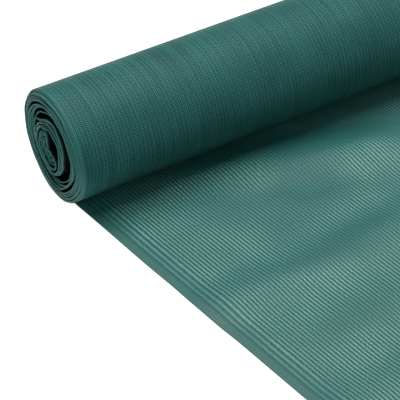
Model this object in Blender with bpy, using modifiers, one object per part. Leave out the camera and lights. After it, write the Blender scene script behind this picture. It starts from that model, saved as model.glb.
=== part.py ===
"""Windbreak netting: a coreless roll of knitted net lying on the floor, with its loose end unrolled in front.

World axes, in metres: +X runs along the roll, +Y points to the back and +Z up. The origin is on the floor at
mid-width, under the line where the roll presses on the loose end. The net leaves the roll at the floor, so
it winds up the back, over the top and down the front. The near end is at -X.
"""

import math

import bmesh
import bpy

# The net and its roll
NET_WIDTH = 1.000
ROLL_RADIUS = 0.060
CLOTH = 0.0012
SEAT_GAP = 0.0003
TAIL_LENGTH = 0.500
TUCKED_UNDER = 0.005

# The roll's cross-section. Bearings are degrees from the back, up over the top and down the front.
BEARING_STEP = 45
ROLL_SIDES = 96
# Radii at bearings 0, 45 ... 315, in roll radii: each loop is one face of a bundle of turns.
LOOPS = {
    "skin": (0.990, 1.005, 0.985, 0.980, 1.000, 0.970, 1.020, 1.010),
    "outer_bundle_inside": (0.795, 0.785, 0.810, 0.810, 0.820, 0.750, 0.755, 0.730),
    "middle_bundle_outside": (0.745, 0.755, 0.790, 0.790, 0.780, 0.710, 0.705, 0.675),
    "middle_bundle_inside": (0.640, 0.670, 0.730, 0.720, 0.660, 0.530, 0.540, 0.580),
    "core_outside": (0.580, 0.555, 0.630, 0.650, 0.450, 0.440, 0.500, 0.530),
    "core_inside": (0.440, 0.400, 0.470, 0.480, 0.320, 0.280, 0.350, 0.400),
}
# How far each loop stands out of the near end past the skin, in roll radii. The far end is as much hollow.
STANDS_OUT = {
    "skin": 0.00,
    "outer_bundle_inside": 0.08,
    "middle_bundle_outside": 0.09,
    "middle_bundle_inside": 0.10,
    "core_outside": 0.14,
    "core_inside": 0.13,
}
# Bearings between which two facing loops lie on each other: (from, to), with JOIN_FADE to the open gap beyond
OUTER_JOINED = ((78, 186),)
INNER_JOINED = ((127, 139), (236, 256))
JOIN_FADE = 24
# The loop that each of them faces across a gap, and where they are joined
FACING = {
    "outer_bundle_inside": ("middle_bundle_outside", OUTER_JOINED),
    "middle_bundle_outside": ("outer_bundle_inside", OUTER_JOINED),
    "middle_bundle_inside": ("core_outside", INNER_JOINED),
    "core_outside": ("middle_bundle_inside", INNER_JOINED),
}

# The roll has drifted sideways as it was wound: its skin starts this far past the loose end's edge, and
# leans by these shares of the distance back from and above its middle.
DRIFT = 0.176 * ROLL_RADIUS
LEAN_BACK = 0.070
LEAN_UP = -0.057
# Stations along the roll: share of its length, and its girth there
STATIONS = (
    (0.000, 1.000),
    (0.040, 1.000),
    (0.220, 1.008),
    (0.450, 1.010),
    (0.700, 0.998),
    (0.960, 0.990),
    (1.000, 0.990),
)

# Long low ridges in the loose end, running along the roll. Distances are from the left edge and in front of
# the roll's middle. behind and ahead are the widths of the slopes on the roll's side and on the open side,
# and fade is the length over which a ridge dies out at each end.
RIDGE_COLUMNS = ("start", "end", "fade", "crest_start", "crest_end", "high", "behind", "ahead")
RIDGES = (
    (0.05, 0.45, 0.16, 0.019, 0.166, 0.0075, 0.058, 0.055),
    (0.40, 1.04, 0.16, 0.105, 0.060, 0.0040, 0.050, 0.050),
    (-0.04, 0.20, 0.08, 0.238, 0.236, 0.0036, 0.045, 0.038),
    (0.12, 0.56, 0.10, 0.240, 0.215, 0.0052, 0.050, 0.060),
    (0.50, 1.03, 0.16, 0.232, 0.170, 0.0030, 0.060, 0.046),
    (0.04, 0.40, 0.10, 0.325, 0.300, 0.0016, 0.040, 0.050),
    (0.42, 0.96, 0.14, 0.352, 0.322, 0.0028, 0.055, 0.050),
    (-0.04, 0.34, 0.08, 0.432, 0.410, 0.0036, 0.050, 0.045),
)
# The ridges start rising at least this far in front of the line where the roll presses on the net
SEAT_REACH = 0.014
SHEET_STEPS_X = 30
SHEET_STEPS_Y = 38

NET_GREEN = (0.058, 0.165, 0.140, 1.0)
NET_ROUGHNESS = 0.62


def clear_scene():
    for obj in list(bpy.data.objects):
        bpy.data.objects.remove(obj, do_unlink=True)


def make_collection(name):
    collection = bpy.data.collections.new(name)
    bpy.context.scene.collection.children.link(collection)
    return collection


def net_material(name, shade):
    """Matt green polyethylene; shade scales its colour."""
    material = bpy.data.materials.new(name)
    material.use_nodes = True
    shader = material.node_tree.nodes["Principled BSDF"]
    red, green, blue, alpha = NET_GREEN
    shader.inputs["Base Color"].default_value = (red * shade, green * shade, blue * shade, alpha)
    shader.inputs["Roughness"].default_value = NET_ROUGHNESS
    shader.inputs["Metallic"].default_value = 0.0
    return material


def smooth(share):
    """0 to 1 with level ends."""
    share = min(max(share, 0.0), 1.0)
    return share * share * (3.0 - 2.0 * share)


def around(values, bearing):
    """A value at any bearing, from values a BEARING_STEP apart, on a closed Catmull-Rom curve."""
    place = bearing / BEARING_STEP
    first = math.floor(place)
    t = place - first
    a, b, c, d = (values[(first + k) % len(values)] for k in (-1, 0, 1, 2))
    return b + 0.5 * t * (c - a + t * (2.0 * a - 5.0 * b + 4.0 * c - d + t * (3.0 * (b - c) + d - a)))


def openness(bearing, joined):
    """0 where two loops lie on each other, rising to 1 where the gap between them is open."""
    share = 1.0
    for start, end in joined:
        middle = (start + end) / 2
        away = abs((bearing - middle + 180.0) % 360.0 - 180.0) - (end - start) / 2
        share = min(share, smooth(away / JOIN_FADE))
    return share


# The step where the outermost turn starts, just behind the tucked edge of the loose end
STEP_DISTANCE = TUCKED_UNDER + 2 * SEAT_GAP
STEP_BEARING = 270.0 + math.degrees(math.atan(STEP_DISTANCE / ROLL_RADIUS))


def loop_radius(name, bearing):
    """The loop's radius in roll radii. Facing loops meet at their middle where they are joined."""
    own = around(LOOPS[name], bearing)
    if name not in FACING:
        return own
    facing, joined = FACING[name]
    middle = (own + around(LOOPS[facing], bearing)) / 2
    return middle + (own - middle) * openness(bearing, joined)


def section_point(name, turned, girth):
    """(y, z) of a loop at turned degrees on from the step, with z up from the floor."""
    bearing = STEP_BEARING + turned
    radius = loop_radius(name, bearing) * ROLL_RADIUS * girth
    if name == "skin":
        radius -= (CLOTH + SEAT_GAP) * turned / 360.0
    y = radius * math.cos(math.radians(bearing))
    z = ROLL_RADIUS + radius * math.sin(math.radians(bearing))
    if name == "skin":
        # The first turn rests on the floor and the last lies on the loose end.
        z = max(z, 0.0 if turned < 180.0 else CLOTH + SEAT_GAP)
        if turned in (0.0, 360.0):
            y = STEP_DISTANCE
    return y, z


def stand_out(name, bearing):
    """How far a loop stands out of the near end. Joined loops stand out alike."""
    if name not in FACING:
        return STANDS_OUT[name]
    facing, joined = FACING[name]
    middle = (STANDS_OUT[name] + STANDS_OUT[facing]) / 2
    return middle + (STANDS_OUT[name] - middle) * openness(bearing, joined)


def ring_of(mesh, name, share, girth):
    """The vertices of one loop at one station. The skin has one more, for the step's lower corner."""
    count = ROLL_SIDES + 1 if name == "skin" else ROLL_SIDES
    ring = []
    for k in range(count):
        turned = 360.0 * k / ROLL_SIDES
        y, z = section_point(name, turned, girth)
        sideways = LEAN_BACK * y + LEAN_UP * (z - ROLL_RADIUS) - DRIFT
        sideways -= stand_out(name, STEP_BEARING + turned) * ROLL_RADIUS
        ring.append(mesh.verts.new(((share - 0.5) * NET_WIDTH + sideways, y, z)))
    return ring


def face(mesh, *corners):
    """A face, unless two loops lie on each other there and leave it no area."""
    places = []
    kept = []
    for corner in corners:
        if all((corner.co - place).length > 1e-7 for place in places):
            places.append(corner.co)
            kept.append(corner)
    if len(kept) > 2:
        mesh.faces.new(kept)


def add_walls(mesh, stations, name, outward):
    """The wall of one loop along the roll, left out where the loop lies on the one that it faces."""
    closed = name != "skin"
    joined = FACING[name][1] if name in FACING else ()
    for near, far in zip(stations, stations[1:]):
        for k in range(ROLL_SIDES):
            after = (k + 1) % ROLL_SIDES if closed else k + 1
            bearings = (STEP_BEARING + 360.0 * each / ROLL_SIDES for each in (k, k + 1))
            if max(openness(bearing, joined) for bearing in bearings) <= 0.0:
                continue
            corners = (near[name][k], near[name][after], far[name][after], far[name][k])
            face(mesh, *(corners if outward else reversed(corners)))


def add_step(mesh, stations):
    """The cut edge of the outermost turn, where the skin's end steps up on to the loose end."""
    for near, far in zip(stations, stations[1:]):
        face(mesh, near["skin"][-1], near["skin"][0], far["skin"][0], far["skin"][-1])


def add_cap(mesh, rings, outside, inside, outward):
    """The end of one bundle, between its outside and inside loops."""
    for k in range(ROLL_SIDES):
        after = (k + 1) % ROLL_SIDES
        over = k + 1 if outside == "skin" else after
        corners = [rings[outside][k], rings[outside][over], rings[inside][after], rings[inside][k]]
        if outside == "skin" and k == 0:
            corners.append(rings["skin"][-1])
        face(mesh, *(corners if outward else reversed(corners)))


def build_roll(collection):
    """The wound net as one solid: three bundles of turns round a hollow middle, parted by long gaps."""
    mesh = bmesh.new()
    stations = [{name: ring_of(mesh, name, share, girth) for name in LOOPS} for share, girth in STATIONS]
    outsides = ("skin", "middle_bundle_outside", "core_outside")
    insides = ("outer_bundle_inside", "middle_bundle_inside", "core_inside")
    for outside, inside in zip(outsides, insides):
        add_walls(mesh, stations, outside, outward=False)
        add_walls(mesh, stations, inside, outward=True)
        add_cap(mesh, stations[0], outside, inside, outward=True)
        add_cap(mesh, stations[-1], outside, inside, outward=False)
    add_step(mesh, stations)
    bmesh.ops.remove_doubles(mesh, verts=mesh.verts, dist=1e-6)
    bmesh.ops.triangulate(mesh, faces=mesh.faces)
    bmesh.ops.recalc_face_normals(mesh, faces=mesh.faces)
    data = bpy.data.meshes.new("netting_roll")
    mesh.to_mesh(data)
    mesh.free()
    data.materials.append(net_material("rolled_net", 0.85))
    roll = bpy.data.objects.new("netting_roll", data)
    collection.objects.link(roll)
    return roll


def ridge_height(across, ahead_of_roll):
    """Height of the loose end's underside, at distances from its left edge and in front of the roll."""
    height = 0.0
    for row in RIDGES:
        ridge = dict(zip(RIDGE_COLUMNS, row))
        along = (across - ridge["start"]) / (ridge["end"] - ridge["start"])
        crest = ridge["crest_start"] + (ridge["crest_end"] - ridge["crest_start"]) * along
        behind = max(min(ridge["behind"], crest - SEAT_REACH), 0.012)
        width = ridge["ahead"] if ahead_of_roll > crest else behind
        slope = 1.0 - smooth(abs(ahead_of_roll - crest) / width)
        from_ends = (across - ridge["start"], ridge["end"] - across)
        fade = smooth(from_ends[0] / ridge["fade"]) * smooth(from_ends[1] / ridge["fade"])
        height += ridge["high"] * slope * fade
    return height


def build_loose_end(collection):
    """The unrolled net: a thin sheet that lies flat, with long low ridges along the roll."""
    length = TAIL_LENGTH + TUCKED_UNDER
    mesh = bmesh.new()
    bmesh.ops.create_grid(mesh, x_segments=SHEET_STEPS_X, y_segments=SHEET_STEPS_Y, size=0.5)
    for vert in mesh.verts:
        x = vert.co.x * NET_WIDTH
        y = TUCKED_UNDER - (0.5 - vert.co.y) * length
        vert.co = (x, y, ridge_height(x + NET_WIDTH / 2, -y))
    data = bpy.data.meshes.new("loose_end")
    mesh.to_mesh(data)
    mesh.free()
    data.materials.append(net_material("laid_net", 1.0))
    sheet = bpy.data.objects.new("loose_end", data)
    collection.objects.link(sheet)
    thickness = sheet.modifiers.new("cloth thickness", "SOLIDIFY")
    thickness.thickness = CLOTH
    thickness.offset = 1.0
    return sheet


def main():
    clear_scene()
    collection = make_collection("windbreak_netting")
    build_roll(collection)
    build_loose_end(collection)


main()
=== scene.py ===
"""Windbreak netting: a coreless roll of knitted net with its loose end laid out in front.

The net is a warp knit. Chains of stitches run along its length, and the threads laid in between them leave
rows of small holes beside each chain. It leaves the roll at the floor, so it winds up the back, over the top
and down the front. Its turns lie in three bundles, with a loose turn between the outer two and the core, and
the net's crumpled tail inside the core.
"""

import math
import bpy
import numpy as np
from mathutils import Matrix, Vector


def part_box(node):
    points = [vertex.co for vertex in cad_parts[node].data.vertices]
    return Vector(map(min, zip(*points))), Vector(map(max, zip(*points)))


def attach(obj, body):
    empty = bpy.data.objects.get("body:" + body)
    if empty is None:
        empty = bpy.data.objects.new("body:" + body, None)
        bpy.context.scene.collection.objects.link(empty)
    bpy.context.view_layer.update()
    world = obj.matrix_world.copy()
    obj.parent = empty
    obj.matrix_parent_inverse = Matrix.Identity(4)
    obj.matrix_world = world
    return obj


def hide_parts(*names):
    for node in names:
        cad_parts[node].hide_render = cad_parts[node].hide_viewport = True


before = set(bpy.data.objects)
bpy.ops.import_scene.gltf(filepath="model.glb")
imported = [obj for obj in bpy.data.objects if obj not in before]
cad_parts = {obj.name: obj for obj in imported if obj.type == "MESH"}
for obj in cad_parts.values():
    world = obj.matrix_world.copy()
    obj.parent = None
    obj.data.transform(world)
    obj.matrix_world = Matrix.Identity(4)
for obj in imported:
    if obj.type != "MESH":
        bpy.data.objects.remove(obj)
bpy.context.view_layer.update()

# Sizes from the frame, in metres
SHEET_LOW, SHEET_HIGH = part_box("loose_end")
NET_WIDTH = SHEET_HIGH.x - SHEET_LOW.x
LEFT_EDGE = SHEET_LOW.x
TAIL_END = SHEET_LOW.y
TUCKED_UNDER = SHEET_HIGH.y
ROLL_RADIUS = 0.060

# The net itself: from each side edge come the selvedge, a few wide stripes, and then chains at an even pitch
NET_THICK = 0.0007
LAID_THICK = 0.0005
CHAIN_PITCH = 0.0041
STITCH = 0.0024
SELVEDGE = 0.0105
WIDE_STRIPES = 3
WIDE_PITCH = 0.0060
WIDE_END = SELVEDGE + WIDE_STRIPES * WIDE_PITCH
RIB_HIGH = 0.00015

# The roll's cross-section, in roll radii: values at even bearings from the back, over the top and down the
# front
LOOPS = {
    "skin": (0.990, 1.005, 0.985, 0.980, 1.000, 0.970, 1.020, 1.010),
    "outer_inside": (
        *(0.73, 0.76, 0.80, 0.82, 0.84, 0.87, 0.86, 0.86),
        *(0.87, 0.79, 0.74, 0.74, 0.73, 0.68, 0.67, 0.69),
    ),
    "middle_outside": (
        *(0.69, 0.72, 0.76, 0.80, 0.82, 0.86, 0.85, 0.85),
        *(0.85, 0.75, 0.70, 0.70, 0.69, 0.64, 0.63, 0.65),
    ),
    "middle_inside": (
        *(0.48, 0.55, 0.63, 0.70, 0.77, 0.84, 0.83, 0.83),
        *(0.80, 0.71, 0.64, 0.58, 0.49, 0.44, 0.43, 0.44),
    ),
    "loose_outside": (
        *(0.45, 0.49, 0.55, 0.63, 0.73, 0.82, 0.81, 0.82),
        *(0.78, 0.68, 0.61, 0.55, 0.46, 0.41, 0.40, 0.41),
    ),
    "loose_inside": (
        *(0.42, 0.46, 0.52, 0.60, 0.70, 0.79, 0.79, 0.80),
        *(0.75, 0.64, 0.56, 0.50, 0.43, 0.39, 0.38, 0.39),
    ),
    "core_outside": (
        *(0.39, 0.41, 0.45, 0.51, 0.60, 0.70, 0.70, 0.64),
        *(0.55, 0.50, 0.47, 0.44, 0.40, 0.36, 0.35, 0.36),
    ),
    "core_inside": (
        *(0.31, 0.33, 0.36, 0.38, 0.39, 0.44, 0.48, 0.44),
        *(0.41, 0.40, 0.39, 0.38, 0.31, 0.26, 0.26, 0.28),
    ),
    "tail_outside": (
        *(0.29, 0.31, 0.34, 0.36, 0.31, 0.16, 0.09, 0.09),
        *(0.20, 0.32, 0.36, 0.35, 0.29, 0.24, 0.24, 0.26),
    ),
    "tail_inside": (
        *(0.08, 0.11, 0.13, 0.12, 0.08, 0.04, 0.02, 0.02),
        *(0.02, 0.03, 0.04, 0.05, 0.05, 0.05, 0.06, 0.07),
    ),
}

# Bundles of turns: the turn at which each ends, and the loops that it lies between
BUNDLES = (
    (11.60, "skin", "outer_inside"),
    (15.92, "middle_outside", "middle_inside"),
    (17.40, "loose_outside", "loose_inside"),
    (22.50, "core_outside", "core_inside"),
    (28.00, "tail_outside", "tail_inside"),
)
TURNS = BUNDLES[-1][0]
# The share of a turn in which the net steps from one bundle to the next
HANDOVER = 0.07
# Within a bundle, the turns crowd together once every few turns, by this many turns
GROUP_TURNS = 2.9
GROUPING = 0.36
# The outermost turn starts just behind the tucked edge of the loose end
PAST_TUCK = 0.0006
STEP_BEARING = 270.0 + math.degrees(math.atan((TUCKED_UNDER + PAST_TUCK) / ROLL_RADIUS))
# Turns that lie on one another over the floor keep this far apart
TURN_GAP = 0.0001
# Half of a turn's thickness is at most this share of the way to the next turn, but never thinner than the
# least share of the net's thickness
ROOM_SHARE = 0.42
LEAST_HALF = 0.3

# How far the turns are crumpled out of their smooth loops, in roll radii, by turn
CRUMPLE_TURNS = (0.0, 11.0, 15.0, 17.0, 22.5, 28.0)
CRUMPLE = (0.0, 0.001, 0.005, 0.009, 0.008, 0.012)
# The roll's girth at shares of its length. Where it grows, it doesn't press down what lies lower than this.
GIRTH_PLACES = (0.0, 0.04, 0.22, 0.45, 0.70, 0.96, 1.0)
GIRTH = (1.000, 1.000, 1.008, 1.010, 0.998, 0.990, 0.990)
RESTING_BELOW = 0.02

# How far the turns stand out of the near end past the skin, in roll radii, by turn
STAND_OUT_TURNS = (0.0, 2.7, 3.1, 11.5, 12.0, 15.8, 16.2, 17.2, 17.6, 22.3, 22.9, 28.0)
STAND_OUT = (0.0, 0.008, 0.032, 0.080, 0.090, 0.100, 0.115, 0.120, 0.140, 0.135, 0.125, 0.100)
# The whole roll has drifted this far past the loose end's edge, and its end leans
DRIFT = 0.176 * ROLL_RADIUS
DRIFT_TURNS = 0.45
LEAN_BACK = 0.070
LEAN_UP = -0.057
# Each half turn strays sideways a little on its own, with a fine flutter over it
STRAY = 0.0010
STRAY_SEED = 11
FLUTTER = 0.0002
FLUTTER_RATE = 61.0

# The roll's two pieces part here. Each has steps round every turn, and stations in from both side edges
OUTER_TURNS = 1.15
OUTER_STEPS = 180
INNER_STEPS = 120
OUTER_STATIONS = (0.0, 0.002, 0.006, SELVEDGE, WIDE_END, 0.06, 0.14, 0.25, 0.38, 0.499)
INNER_STATIONS = (0.0, 0.0015, 0.005, SELVEDGE, WIDE_END, 0.10)

# The loose end's rows of points, its stations in the selvedge, and the steps across each chain
LAID_ROWS = 52
SELVEDGE_STATIONS = (0.0, 0.0015, 0.004, 0.0068)
CHAIN_STEPS = 4

# Long low ridges in the loose end, as the solid has them: distances from its left edge and in front of the
# roll's middle, the widths of the slopes behind and ahead of the crest, and how fast each ridge dies out
RIDGE_COLUMNS = ("start", "end", "fade", "crest_start", "crest_end", "high", "behind", "ahead")
RIDGES = (
    (0.05, 0.45, 0.16, 0.019, 0.166, 0.0075, 0.058, 0.055),
    (0.40, 1.04, 0.16, 0.105, 0.060, 0.0040, 0.050, 0.050),
    (-0.04, 0.20, 0.08, 0.238, 0.236, 0.0036, 0.045, 0.038),
    (0.12, 0.56, 0.10, 0.240, 0.215, 0.0052, 0.050, 0.060),
    (0.50, 1.03, 0.16, 0.232, 0.170, 0.0030, 0.060, 0.046),
    (0.04, 0.40, 0.10, 0.325, 0.300, 0.0016, 0.040, 0.050),
    (0.42, 0.96, 0.14, 0.352, 0.322, 0.0028, 0.055, 0.050),
    (-0.04, 0.34, 0.08, 0.432, 0.410, 0.0036, 0.050, 0.045),
)
# A ridge starts rising at least this far in front of the roll's middle, and its rear slope has a least width
SEAT_REACH = 0.014
LEAST_SLOPE = 0.012

# Places where the net has crept sideways on the floor: middle, half sizes and how far to the right
SWAY_COLUMNS = ("across", "ahead", "half_across", "half_ahead", "shift")
SWAYS = (
    (0.11, 0.100, 0.09, 0.050, -0.0022),
    (0.18, 0.290, 0.12, 0.045, 0.0020),
    (0.00, 0.140, 0.05, 0.080, -0.0007),
    (0.00, 0.238, 0.05, 0.055, -0.0020),
    (0.60, 0.200, 0.20, 0.120, 0.0030),
    (0.85, 0.380, 0.14, 0.090, -0.0025),
    (1.00, 0.220, 0.05, 0.110, -0.0010),
)
# Places where the holes have nearly closed: middle, half sizes, how much. The first is a long band along the
# roll's front, painted shade rather than tighter net: its holes are shut so that the net stays dark in the
# roll's shade. At the others the net is drawn tighter.
CLOSED_SPOT_COLUMNS = ("across", "ahead", "half_across", "half_ahead", "closed")
TIGHT_AND_SHADE_SPOTS = (
    (0.500, 0.036, 3.000, 0.075, 0.56),
    (0.200, 0.095, 0.120, 0.045, 0.40),
    (0.210, 0.124, 0.085, 0.060, 1.05),
    (0.125, 0.110, 0.050, 0.060, 0.50),
    (0.140, 0.175, 0.045, 0.050, 0.40),
    (0.130, 0.228, 0.090, 0.026, 0.55),
    (0.190, 0.245, 0.130, 0.030, 0.35),
    (0.205, 0.215, 0.070, 0.022, 0.50),
    (0.120, 0.322, 0.120, 0.034, 0.45),
    (0.290, 0.076, 0.110, 0.026, 0.35),
    (0.520, 0.200, 0.100, 0.060, 0.60),
    (0.700, 0.120, 0.120, 0.040, 0.70),
    (0.640, 0.360, 0.140, 0.050, 0.55),
    (0.880, 0.260, 0.090, 0.080, 0.60),
    (0.380, 0.420, 0.110, 0.040, 0.50),
)
# It is tighter too where a ridge rises, by its slope, and the holes open a little past their usual width
TIGHT_BY_SLOPE = 2.2
MOST_OPEN = 1.05

CHAIN_GREEN = (0.0095, 0.0720, 0.0655)
# Partly painted light: THREAD_GREEN is the threads' paler green, lightened for the floor's light through the
# tape
THREAD_GREEN = (0.0440, 0.2300, 0.1920)
EDGE_GREEN = (0.0260, 0.1150, 0.1000)
LOOP_GREEN = (0.0430, 0.2200, 0.2020)

# How much floor shows through a hole, and the strip in front of the roll, in the roll's shade, in which the
# holes are less clear and the whole tint is lightened, up to twice, as painted light
HOLE_CLEARNESS = 0.46
NEAR_ROLL_END = 0.062
NEAR_ROLL_FULL = 0.022
# The relief of the knit in every finish
RELIEF_DEPTH = 0.0004

# The camera stands to the left, above, and looks past the roll's near end
VIEW_TURN = math.radians(35.3)
VIEW_DOWN = math.radians(34.1)
VIEW_DISTANCE = 35.8 * ROLL_RADIUS
VIEW_RIGHT = 1.051 * ROLL_RADIUS
VIEW_FORWARD = 2.601 * ROLL_RADIUS
LENS = 206.6
SENSOR = 36.0

FLOOR_HALF = 4.0
FLOOR_LEVEL = -0.0003


# ---------------------------------------------------------------- the roll's spiral


def smooth(share):
    """0 to 1 with level ends: 3s^2 - 2s^3 of the share held between 0 and 1."""
    share = np.clip(share, 0.0, 1.0)
    return share * share * (3.0 - 2.0 * share)


def around(values, bearing):
    """A closed Catmull-Rom curve through evenly spaced values, read at any bearing in degrees."""
    values = np.asarray(values)
    place = bearing / (360.0 / len(values))
    first = np.floor(place).astype(int)
    t = place - first
    a, b, c, d = (values[(first + k) % len(values)] for k in (-1, 0, 1, 2))
    return b + 0.5 * t * (c - a + t * (2.0 * a - 5.0 * b + 4.0 * c - d + t * (3.0 * (b - c) + d - a)))


def loop_radius(name, bearing):
    """A loop's radius in metres."""
    return around(LOOPS[name], bearing) * ROLL_RADIUS


def bundle_radius(k, turn, bearing):
    """Radius of the net's middle in bundle k: from its outside loop to its inside loop, by turn. Small
    groups of turns lie closer together, so that fine lines part them."""
    begin = BUNDLES[k - 1][0] if k else 0.0
    end, outside, inside = BUNDLES[k]
    share = (turn - begin) / (end - begin)
    spread = np.clip(4.0 * share * (1.0 - share), 0.0, 1.0) * GROUPING / (end - begin)
    share = share + spread * np.sin(2 * np.pi * turn / GROUP_TURNS + np.sin(np.radians(bearing)))
    far = loop_radius(outside, bearing) - NET_THICK / 2
    near = loop_radius(inside, bearing) + NET_THICK / 2
    return far + (near - far) * share


def wound_middle(turn):
    """(y, z) of the net's middle at a turn: each bundle's spiral, handed over smoothly to the next one, and
    crumpled by two waves round the roll that slip from turn to turn. It never sinks into the turns that lie
    under it on the floor."""
    bearing = STEP_BEARING + 360.0 * turn
    radius = bundle_radius(0, turn, bearing)
    for k in range(1, len(BUNDLES)):
        passed = smooth((turn - BUNDLES[k - 1][0]) / HANDOVER + 0.5)
        radius = radius + (bundle_radius(k, turn, bearing) - radius) * passed
    angle = np.radians(bearing)
    waves = np.sin(5.0 * angle + 0.9 * turn) + 0.6 * np.sin(11.0 * angle + 2.3 * turn)
    radius = radius + np.interp(turn, CRUMPLE_TURNS, CRUMPLE) * ROLL_RADIUS * waves
    y = radius * np.cos(angle)
    z = ROLL_RADIUS + radius * np.sin(angle)
    resting = NET_THICK / 2 + turn * (NET_THICK + TURN_GAP)
    return y, np.maximum(z, resting)


def sideways(turn, y, z):
    """How far a turn has drifted along the roll: from nothing at the loose end to the lean of the roll's
    end, plus the turn's own straying, less how far it stands out of the near end."""
    taken = smooth(turn / DRIFT_TURNS)
    lean = LEAN_BACK * y + LEAN_UP * (z - ROLL_RADIUS) - DRIFT
    strays = np.random.default_rng(STRAY_SEED).normal(0.0, STRAY, 2 * int(TURNS) + 4)
    wander = np.interp(turn, np.arange(len(strays)) / 2, strays) + FLUTTER * np.sin(turn * FLUTTER_RATE)
    out = np.interp(turn, STAND_OUT_TURNS, STAND_OUT) * ROLL_RADIUS
    return taken * (lean + wander * smooth(turn)) - out


def half_thickness(turn, y, z):
    """(y, z) of half the net's thickness, square to the spiral: less where the next turn leaves no room."""
    next_y, next_z = wound_middle(np.minimum(turn + 1.0, TURNS))
    room = np.hypot(next_y - y, next_z - z)
    half = np.clip(room * ROOM_SHARE, NET_THICK * LEAST_HALF, NET_THICK / 2)
    along_y = np.gradient(y)
    along_z = np.gradient(z)
    size = np.hypot(along_y, along_z)
    return along_z / size * half, -along_y / size * half


# ---------------------------------------------------------------- sheets


def from_edge(across):
    """The way in from the nearer side edge."""
    return np.minimum(across, NET_WIDTH - across)


def chain_count(across):
    """Number of chains from the nearer side edge: none in the selvedge, then the wide stripes, then the even
    pitch."""
    half = NET_WIDTH / 2
    most = WIDE_STRIPES + (half - WIDE_END) / CHAIN_PITCH
    return np.interp(from_edge(across), (0.0, SELVEDGE, WIDE_END, half), (0.0, 0.0, WIDE_STRIPES, most))


def both_sides(near):
    """Stations in from the left edge, and the same ones in from the right edge."""
    near = np.asarray(near)
    return np.concatenate([near, (NET_WIDTH - near)[::-1]])


def sheet_faces(rows, columns):
    """Quads of a closed thin sheet: the upper grid, the lower grid after it turned over, and the rim that
    joins their four sides. The rim's faces are the last 2 (rows + columns - 2)."""
    index = np.arange(rows * columns).reshape(rows, columns)
    below = rows * columns
    corners = [index[:-1, :-1], index[:-1, 1:], index[1:, 1:], index[1:, :-1]]
    upper = np.stack(corners, axis=-1).reshape(-1, 4)
    loop = np.concatenate([index[0, :-1], index[:-1, -1], index[-1, :0:-1], index[:0:-1, 0]])
    after = np.roll(loop, -1)
    rim = np.stack([after, loop, loop + below, after + below], axis=-1)
    return np.concatenate([upper, upper[:, ::-1] + below, rim])


def store(mesh, name, values):
    """Stores a number or a vector for each point of a sheet's upper grid, and the same for the lower one."""
    kind, field = ("FLOAT_VECTOR", "vector") if values.ndim == 3 else ("FLOAT", "value")
    attribute = mesh.attributes.new(name, kind, "POINT")
    attribute.data.foreach_set(field, np.concatenate([values.ravel()] * 2).astype(np.float32))


def sheet_object(name, upper, lower, knit):
    """A closed thin sheet from two grids of points. knit is (chains, stitches, way in from the edge)."""
    rows, columns, _ = upper.shape
    points = np.concatenate([upper.reshape(-1, 3), lower.reshape(-1, 3)])
    faces = sheet_faces(rows, columns)
    mesh = bpy.data.meshes.new(name)
    mesh.vertices.add(len(points))
    mesh.vertices.foreach_set("co", points.astype(np.float32).ravel())
    mesh.loops.add(faces.size)
    mesh.loops.foreach_set("vertex_index", faces.astype(np.int32).ravel())
    mesh.polygons.add(len(faces))
    mesh.polygons.foreach_set("loop_start", np.arange(0, faces.size, 4, dtype=np.int32))
    is_smooth = np.ones(len(faces), bool)
    is_smooth[-2 * (rows + columns - 2) :] = False
    mesh.polygons.foreach_set("use_smooth", is_smooth)
    store(mesh, "knit", knit)
    mesh.update(calc_edges=True)
    mesh.validate()
    piece = bpy.data.objects.new(name, mesh)
    bpy.context.scene.collection.objects.link(piece)
    return piece


def wound_piece(name, first_turn, last_turn, steps_per_turn, stations):
    """Part of the wound net and its length: the spiral's middle line, pushed half a thickness out and in
    along its normal, and carried along the roll to each station across the net's width."""
    rows = int(round((last_turn - first_turn) * steps_per_turn)) + 1
    turn = np.linspace(first_turn, last_turn, rows)
    y, z = wound_middle(turn)
    length = np.concatenate([[0.0], np.cumsum(np.hypot(np.diff(y), np.diff(z)))])
    drift = sideways(turn, y, z)[:, None]
    out_y, out_z = (part[:, None] for part in half_thickness(turn, y, z))
    y = y[:, None]
    z = z[:, None]
    across = np.asarray(stations)[None, :]
    girth = np.interp(across / NET_WIDTH, GIRTH_PLACES, GIRTH)
    x = LEFT_EDGE + across + drift
    wide_y = y * girth
    wide_z = np.maximum(ROLL_RADIUS + (z - ROLL_RADIUS) * girth, np.minimum(z, RESTING_BELOW))
    upper = np.stack([x, wide_y + out_y, wide_z + out_z], axis=-1)
    lower = np.stack([x, wide_y - out_y, wide_z - out_z], axis=-1)
    stitches = length[:, None] / STITCH
    knit = np.stack(np.broadcast_arrays(chain_count(across), stitches, from_edge(across)), axis=-1)
    return sheet_object(name, upper, lower, knit), length[-1]


def ridge_height(across, ahead_of_roll):
    """The ridges together: each is a smooth bump across, faded in and out along its length."""
    height = np.zeros_like(across)
    for row in RIDGES:
        ridge = dict(zip(RIDGE_COLUMNS, row))
        along = (across - ridge["start"]) / (ridge["end"] - ridge["start"])
        crest = ridge["crest_start"] + (ridge["crest_end"] - ridge["crest_start"]) * along
        behind = np.clip(crest - SEAT_REACH, LEAST_SLOPE, ridge["behind"])
        width = np.where(ahead_of_roll > crest, ridge["ahead"], behind)
        slope = 1.0 - smooth(np.abs(ahead_of_roll - crest) / width)
        fade_in = smooth((across - ridge["start"]) / ridge["fade"])
        fade_out = smooth((ridge["end"] - across) / ridge["fade"])
        height = height + ridge["high"] * slope * (fade_in * fade_out)
    return height


def spots(columns, rows, across, ahead_of_roll):
    """The sum of smooth round spots, each as strong at its middle as its last column says."""
    total = np.zeros_like(across)
    for row in rows:
        spot = dict(zip(columns, row))
        in_width = 1.0 - smooth(np.abs(across - spot["across"]) / spot["half_across"])
        in_length = 1.0 - smooth(np.abs(ahead_of_roll - spot["ahead"]) / spot["half_ahead"])
        total = total + spot[columns[-1]] * in_width * in_length
    return total


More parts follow.
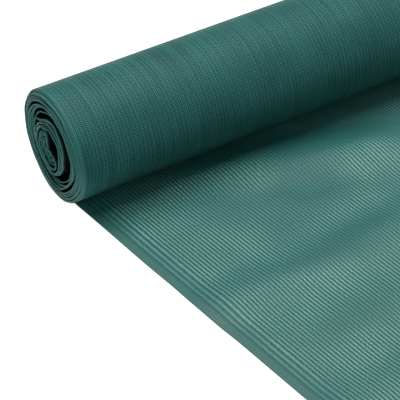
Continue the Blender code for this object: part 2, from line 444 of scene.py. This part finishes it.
def laid_stations():
    """Stations across the loose end: the selvedge, the wide stripes, and a few for each chain after them."""
    chains = int((NET_WIDTH / 2 - WIDE_END) / CHAIN_PITCH)
    wide = np.linspace(SELVEDGE, WIDE_END, WIDE_STRIPES * CHAIN_STEPS, endpoint=False)
    even = WIDE_END + np.arange(chains * CHAIN_STEPS + 1) / CHAIN_STEPS * CHAIN_PITCH
    return both_sides(np.concatenate([SELVEDGE_STATIONS, wide, even]))


def laid_piece(name):
    """The loose end: the solid's ridges under a surface whose chains stand up as round ribs. It also says how
    open the knit is at each point."""
    across, y = np.meshgrid(laid_stations(), np.linspace(TAIL_END, TUCKED_UNDER, LAID_ROWS))
    height = ridge_height(across, -y)
    count = chain_count(across)
    inward = from_edge(across)
    rib = RIB_HIGH * np.cos(2 * np.pi * count) * smooth((inward - SELVEDGE / 2) / SELVEDGE)
    x = LEFT_EDGE + across + spots(SWAY_COLUMNS, SWAYS, across, -y)
    upper = np.stack([x, y, height + LAID_THICK + rib], axis=-1)
    lower = np.stack([x, y, height], axis=-1)
    knit = np.stack([count, -y / STITCH, inward], axis=-1)
    piece = sheet_object(name, upper, lower, knit)
    rising = -np.gradient(height, axis=0) / np.gradient(y, axis=0)
    closing = spots(CLOSED_SPOT_COLUMNS, TIGHT_AND_SHADE_SPOTS, across, -y) + rising * TIGHT_BY_SLOPE
    store(piece.data, "open", np.clip(1.0 - closing, 0.0, MOST_OPEN))
    return piece


# ---------------------------------------------------------------- finishes


class Nodes:
    """Short names for adding and joining shader nodes."""

    def __init__(self, material):
        material.use_nodes = True
        self.tree = material.node_tree
        self.tree.nodes.clear()

    def add(self, kind, settings=None, **inputs):
        node = self.tree.nodes.new("ShaderNode" + kind)
        for key, value in (settings or {}).items():
            setattr(node, key, value)
        for key, value in inputs.items():
            self.put(node.inputs[key.replace("_", " ")], value)
        return node

    def put(self, socket, value):
        if isinstance(value, bpy.types.NodeSocket):
            self.tree.links.new(value, socket)
        else:
            socket.default_value = value

    def math(self, operation, *values):
        node = self.add("Math", dict(operation=operation))
        for socket, value in zip(node.inputs, values):
            self.put(socket, value)
        return node.outputs[0]

    def times(self, first, second):
        return self.math("MULTIPLY", first, second)

    def plus(self, first, second):
        return self.math("ADD", first, second)

    def less(self, first, second):
        return self.math("SUBTRACT", first, second)

    def ramp(self, value, low, high, to_low=0.0, to_high=1.0):
        """A smooth step from to_low, where the value is low, to to_high, where it is high."""
        ends = dict(From_Min=low, From_Max=high, To_Min=to_low, To_Max=to_high)
        node = self.add("MapRange", dict(interpolation_type="SMOOTHSTEP"), Value=value, **ends)
        return node.outputs["Result"]

    def mix(self, share, first, second):
        """Two tints: the first at a share of 0, the second at 1."""
        node = self.add("Mix", dict(data_type="RGBA"))
        for place, value in ((0, share), (6, first), (7, second)):
            self.put(node.inputs[place], value)
        return node.outputs[2]


def colour(base, factor=1.0):
    return tuple(channel * factor for channel in base) + (1.0,)


def stored(net, name):
    return net.add("Attribute", dict(attribute_name=name, attribute_type="GEOMETRY"))


def knit_parts(net):
    """The knit as a vector, and its parts: chains, stitches and the way in from the edge."""
    knit = stored(net, "knit").outputs["Vector"]
    parts = net.add("SeparateXYZ", Vector=knit)
    return knit, parts.outputs["X"], parts.outputs["Y"], parts.outputs["Z"]


def stretched_noise(net, vector, stretch, scale, detail):
    """Noise over the knit. The smaller its stretch in a direction, the longer it is drawn out that way."""
    scaled = net.add("VectorMath", dict(operation="MULTIPLY"))
    net.put(scaled.inputs[0], vector)
    net.put(scaled.inputs[1], stretch)
    settings = dict(noise_dimensions="3D")
    noise = net.add("TexNoise", settings, Vector=scaled.outputs[0], Scale=scale, Detail=detail)
    return noise.outputs["Fac"]


def uneven(net, knit, scale, strength):
    """A small unevenness of the knit, as a share of a stitch to either side."""
    fine = stretched_noise(net, knit, (1.0, 1.0, 0.0), scale, 2.0)
    return net.times(net.less(fine, 0.5), strength)


def wave(net, place, shift=0.0):
    """A cosine of turns: 1 at whole numbers, -1 halfway between them."""
    return net.math("COSINE", net.times(net.plus(place, shift), 2 * math.pi))


def surface(net, tint, relief, strength, **inputs):
    """The surface of a finish, from its tint and its relief."""
    bump = net.add("Bump", Height=relief, Strength=strength, Distance=RELIEF_DEPTH)
    normal = bump.outputs["Normal"]
    shader = net.add("BsdfPrincipled", Base_Color=tint, Normal=normal, **inputs)
    net.add("OutputMaterial", Surface=shader.outputs["BSDF"])


def laid_opening(net, knit, inward):
    """How open the laid knit is: what the piece says, with a slow drift, and tighter by the selvedge."""
    drift = stretched_noise(net, knit, (0.06, 0.035, 0.0), 1.0, 2.0)
    opened = net.times(stored(net, "open").outputs["Fac"], net.ramp(drift, 0.25, 0.75, 0.72, 1.1))
    return net.times(opened, net.ramp(inward, 0.008, 0.035, 0.45, 1.0))


def laid_chains(net, stitches, unevenness, body, opened):
    """The chains' dark tint, darker still where the knit is open, and the selvedge's with bars across."""
    bars = net.ramp(wave(net, net.times(stitches, 1.2), unevenness), -1.0, 1.0, 0.75, 1.05)
    selvedge = net.mix(bars, colour(CHAIN_GREEN, 0.7), colour(EDGE_GREEN, 0.95))
    shut = net.mix(body, selvedge, colour(CHAIN_GREEN, 1.15))
    dark = net.mix(net.ramp(opened, 0.0, 1.0), shut, colour(CHAIN_GREEN, 0.80))
    return net.mix(body, shut, dark)


def laid_threads(net, chain_tint, between, shown, rung, strands):
    """Light threads over the chains' tint, broken a little at each rung, with lighter and darker strands.
    Their pale tint is partly their own green and partly painted light, for the floor's light through the
    tape.
    """
    faint = net.times(between, 0.20)
    dashes = net.times(shown, net.less(1.0, net.times(rung, 0.30)))
    tint = net.mix(net.math("MAXIMUM", faint, dashes), chain_tint, colour(THREAD_GREEN, 1.42))
    tint = net.mix(net.ramp(strands, 0.45, 0.80, 0.0, 0.30), tint, colour(THREAD_GREEN, 1.3))
    return net.mix(net.ramp(strands, 0.50, 0.25, 0.0, 0.35), tint, colour(CHAIN_GREEN, 0.6))


def laid_solidity(net, shown, rung, in_roll_shade):
    """1 on threads and chains, less in the holes: between chains and between rungs."""
    clear = net.times(shown, net.less(1.0, net.times(in_roll_shade, 0.55)))
    holes = net.times(clear, net.less(1.0, net.times(rung, 0.8)))
    return net.less(1.0, net.times(holes, HOLE_CLEARNESS))


def laid_relief(net, chain_wave, stitches, strands):
    """Chains stand up, with a loop at every half stitch, and strands cross them all."""
    loops = net.times(net.math("ABSOLUTE", wave(net, net.times(stitches, 0.5))), 0.35)
    return net.plus(net.plus(net.ramp(chain_wave, -0.7, 1.0), loops), net.times(strands, 0.6))


def laid_finish(name):
    """One layer of net on the floor: dark chains, and between them light threads with holes through."""
    material = bpy.data.materials.new(name)
    net = Nodes(material)
    knit, chains, stitches, inward = knit_parts(net)
    unevenness = uneven(net, knit, 0.8, 0.35)
    strands = stretched_noise(net, knit, (3.0, 1.4, 0.0), 2.0, 3.0)
    body = net.ramp(inward, SELVEDGE * 0.80, SELVEDGE * 0.95)
    chain_wave = wave(net, chains, unevenness)
    between = net.times(net.ramp(chain_wave, 0.45, -0.55), body)
    rung = net.ramp(wave(net, net.plus(stitches, net.times(unevenness, 2.0))), -0.5, 0.9)
    opened = laid_opening(net, knit, inward)
    shown = net.times(between, opened)
    in_roll_shade = net.ramp(stitches, NEAR_ROLL_END / STITCH, NEAR_ROLL_FULL / STITCH)
    chain_tint = laid_chains(net, stitches, unevenness, body, opened)
    tint = laid_threads(net, chain_tint, between, shown, rung, strands)
    # Painted light: in the roll's shade the tint is scaled up, to twice its colour at the roll
    painted_light_lift = net.add("VectorMath", dict(operation="SCALE"), Scale=net.plus(1.0, in_roll_shade))
    net.put(painted_light_lift.inputs[0], tint)
    surface(
        net,
        painted_light_lift.outputs[0],
        laid_relief(net, chain_wave, stitches, strands),
        0.7,
        Roughness=0.48,
        Specular_IOR_Level=0.4,
        Alpha=laid_solidity(net, shown, rung, in_roll_shade),
    )
    return material


def loop_dots(net, knit, stitches, even, unevenness):
    """Loops as fine dots in staggered columns, two to each chain: a sine across each column by a smooth step
    along it, fainter in slow patches."""
    doubled = net.plus(net.times(even, 2.0), unevenness)
    column = net.math("FLOOR", doubled)
    bell = net.math("SINE", net.times(net.less(doubled, column), math.pi))
    staggered = net.plus(stitches, net.plus(net.times(column, 0.5), unevenness))
    dots = net.times(bell, net.ramp(wave(net, staggered), -0.7, 0.9))
    patches = stretched_noise(net, knit, (0.09, 0.05, 0.0), 1.0, 2.0)
    return net.times(dots, net.ramp(patches, 0.30, 0.70, 0.70, 1.0))


def wound_light(net, knit, dots, even, strands):
    """How light the wound net is: its dots, the ribs of the next layer a little askew, streaks round the roll
    and strands."""
    askew = stretched_noise(net, knit, (0.05, 0.010, 0.0), 1.0, 1.0)
    ribs = wave(net, net.plus(even, net.ramp(askew, 0.3, 0.7, 0.0, 0.8)))
    streaks = stretched_noise(net, knit, (2.6, 0.020, 0.0), 1.0, 3.0)
    light = net.plus(net.times(dots, 0.95), net.times(ribs, 0.12))
    light = net.plus(light, net.ramp(streaks, 0.30, 0.75, -0.14, 0.18))
    return net.plus(light, net.ramp(strands, 0.25, 0.75, -0.22, 0.22))


def wound_finish(name, shade_painted_inside):
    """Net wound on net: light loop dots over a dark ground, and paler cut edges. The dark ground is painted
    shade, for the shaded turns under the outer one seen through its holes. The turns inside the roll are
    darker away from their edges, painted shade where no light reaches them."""
    material = bpy.data.materials.new(name)
    net = Nodes(material)
    knit, _, stitches, inward = knit_parts(net)
    unevenness = uneven(net, knit, 1.0, 0.60)
    strands = stretched_noise(net, knit, (3.0, 1.6, 0.0), 2.0, 3.0)
    even = net.times(inward, 1.0 / CHAIN_PITCH)
    dots = loop_dots(net, knit, stitches, even, unevenness)
    light = wound_light(net, knit, dots, even, strands)
    # Painted shade: the dark end of the tint stands for the shaded turns below, seen through the holes
    tint = net.mix(net.ramp(light, -0.10, 1.1), colour(CHAIN_GREEN, 0.60), colour(LOOP_GREEN))
    cut_edge = net.times(net.ramp(inward, 0.0030, 0.0), net.ramp(strands, 0.30, 0.70, 0.25, 0.9))
    tint = net.mix(cut_edge, tint, colour(EDGE_GREEN, 1.7))
    if shade_painted_inside:
        # Painted shade: the inner turns go nearly black a few millimetres in from their edges
        tint = net.mix(net.ramp(inward, 0.0006, 0.0032, 0.0, 0.92), tint, colour(CHAIN_GREEN, 0.03))
    surface(net, tint, light, 0.35, Roughness=0.55, Specular_IOR_Level=0.16)
    return material


# ---------------------------------------------------------------- pieces


def add_net():
    wound = wound_finish("wound_knit", shade_painted_inside=False)
    shade_painted_inside = wound_finish("wound_knit_painted_shade", shade_painted_inside=True)
    single = laid_finish("laid_knit")
    outer_stations = both_sides(OUTER_STATIONS)
    inner_stations = both_sides(INNER_STATIONS)
    outer, outer_length = wound_piece("outer_turn", 0.0, OUTER_TURNS, OUTER_STEPS, outer_stations)
    rest, rest_length = wound_piece("inner_turns", OUTER_TURNS, TURNS, INNER_STEPS, inner_stations)
    laid = laid_piece("laid_end")
    for piece, finish, node in (
        (outer, wound, "netting_roll"),
        (rest, shade_painted_inside, "netting_roll"),
        (laid, single, "loose_end"),
    ):
        piece.data.materials.append(finish)
        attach(piece, "root")
        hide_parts(node)


# ---------------------------------------------------------------- studio


def pale_finish(name):
    material = bpy.data.materials.new(name)
    net = Nodes(material)
    shader = net.add(
        "BsdfPrincipled",
        Base_Color=(0.3, 0.3, 0.3, 1.0),
        Roughness=0.8,
        Specular_IOR_Level=0.1,
        Emission_Color=(1.0, 1.0, 1.0, 1.0),
        Emission_Strength=0.95,
    )
    net.add("OutputMaterial", Surface=shader.outputs["BSDF"])
    return material


def add_floor():
    """A wide square just below the net, which glows so that it stays white."""
    corners = [(x * FLOOR_HALF, y * FLOOR_HALF, FLOOR_LEVEL) for x, y in ((-1, -1), (1, -1), (1, 1), (-1, 1))]
    mesh = bpy.data.meshes.new("floor")
    mesh.from_pydata(corners, [], [(0, 1, 2, 3)])
    mesh.materials.append(pale_finish("pale_floor"))
    floor = bpy.data.objects.new("floor", mesh)
    bpy.context.scene.collection.objects.link(floor)


def aim_at(holder, place, aim):
    """Puts a lamp or camera at a place, looking at its aim with its top up."""
    way = Vector(aim) - Vector(place)
    holder.location = place
    holder.rotation_euler = way.to_track_quat("-Z", "Y").to_euler()


def add_light(name, place, aim, size, power):
    lamp = bpy.data.lights.new(name, "AREA")
    lamp.shape = "SQUARE"
    lamp.size = size
    lamp.energy = power
    holder = bpy.data.objects.new(name, lamp)
    bpy.context.scene.collection.objects.link(holder)
    aim_at(holder, place, aim)


def add_studio():
    add_floor()
    add_light("overhead", place=(-0.12, 0.22, 2.2), aim=(-0.1, 0.0, 0.0), size=1.8, power=67.0)
    world = bpy.data.worlds.new("studio")
    bpy.context.scene.world = world
    world.use_nodes = True
    sky = world.node_tree.nodes["Background"]
    sky.inputs["Color"].default_value = (1.0, 1.0, 1.0, 1.0)
    sky.inputs["Strength"].default_value = 0.35
    bpy.context.scene.view_settings.view_transform = "Standard"


def add_camera():
    camera = bpy.data.cameras.new("camera")
    camera.lens = LENS
    camera.sensor_width = SENSOR
    camera.clip_end = 50.0
    holder = bpy.data.objects.new("camera", camera)
    bpy.context.scene.collection.objects.link(holder)
    aim = np.array([LEFT_EDGE - DRIFT + VIEW_RIGHT, -VIEW_FORWARD, ROLL_RADIUS])
    level = -math.cos(VIEW_DOWN)
    back = np.array([math.sin(VIEW_TURN) * level, math.cos(VIEW_TURN) * level, math.sin(VIEW_DOWN)])
    aim_at(holder, tuple(aim + back * VIEW_DISTANCE), tuple(aim))
    bpy.context.scene.camera = holder


add_camera()
add_net()
add_studio()
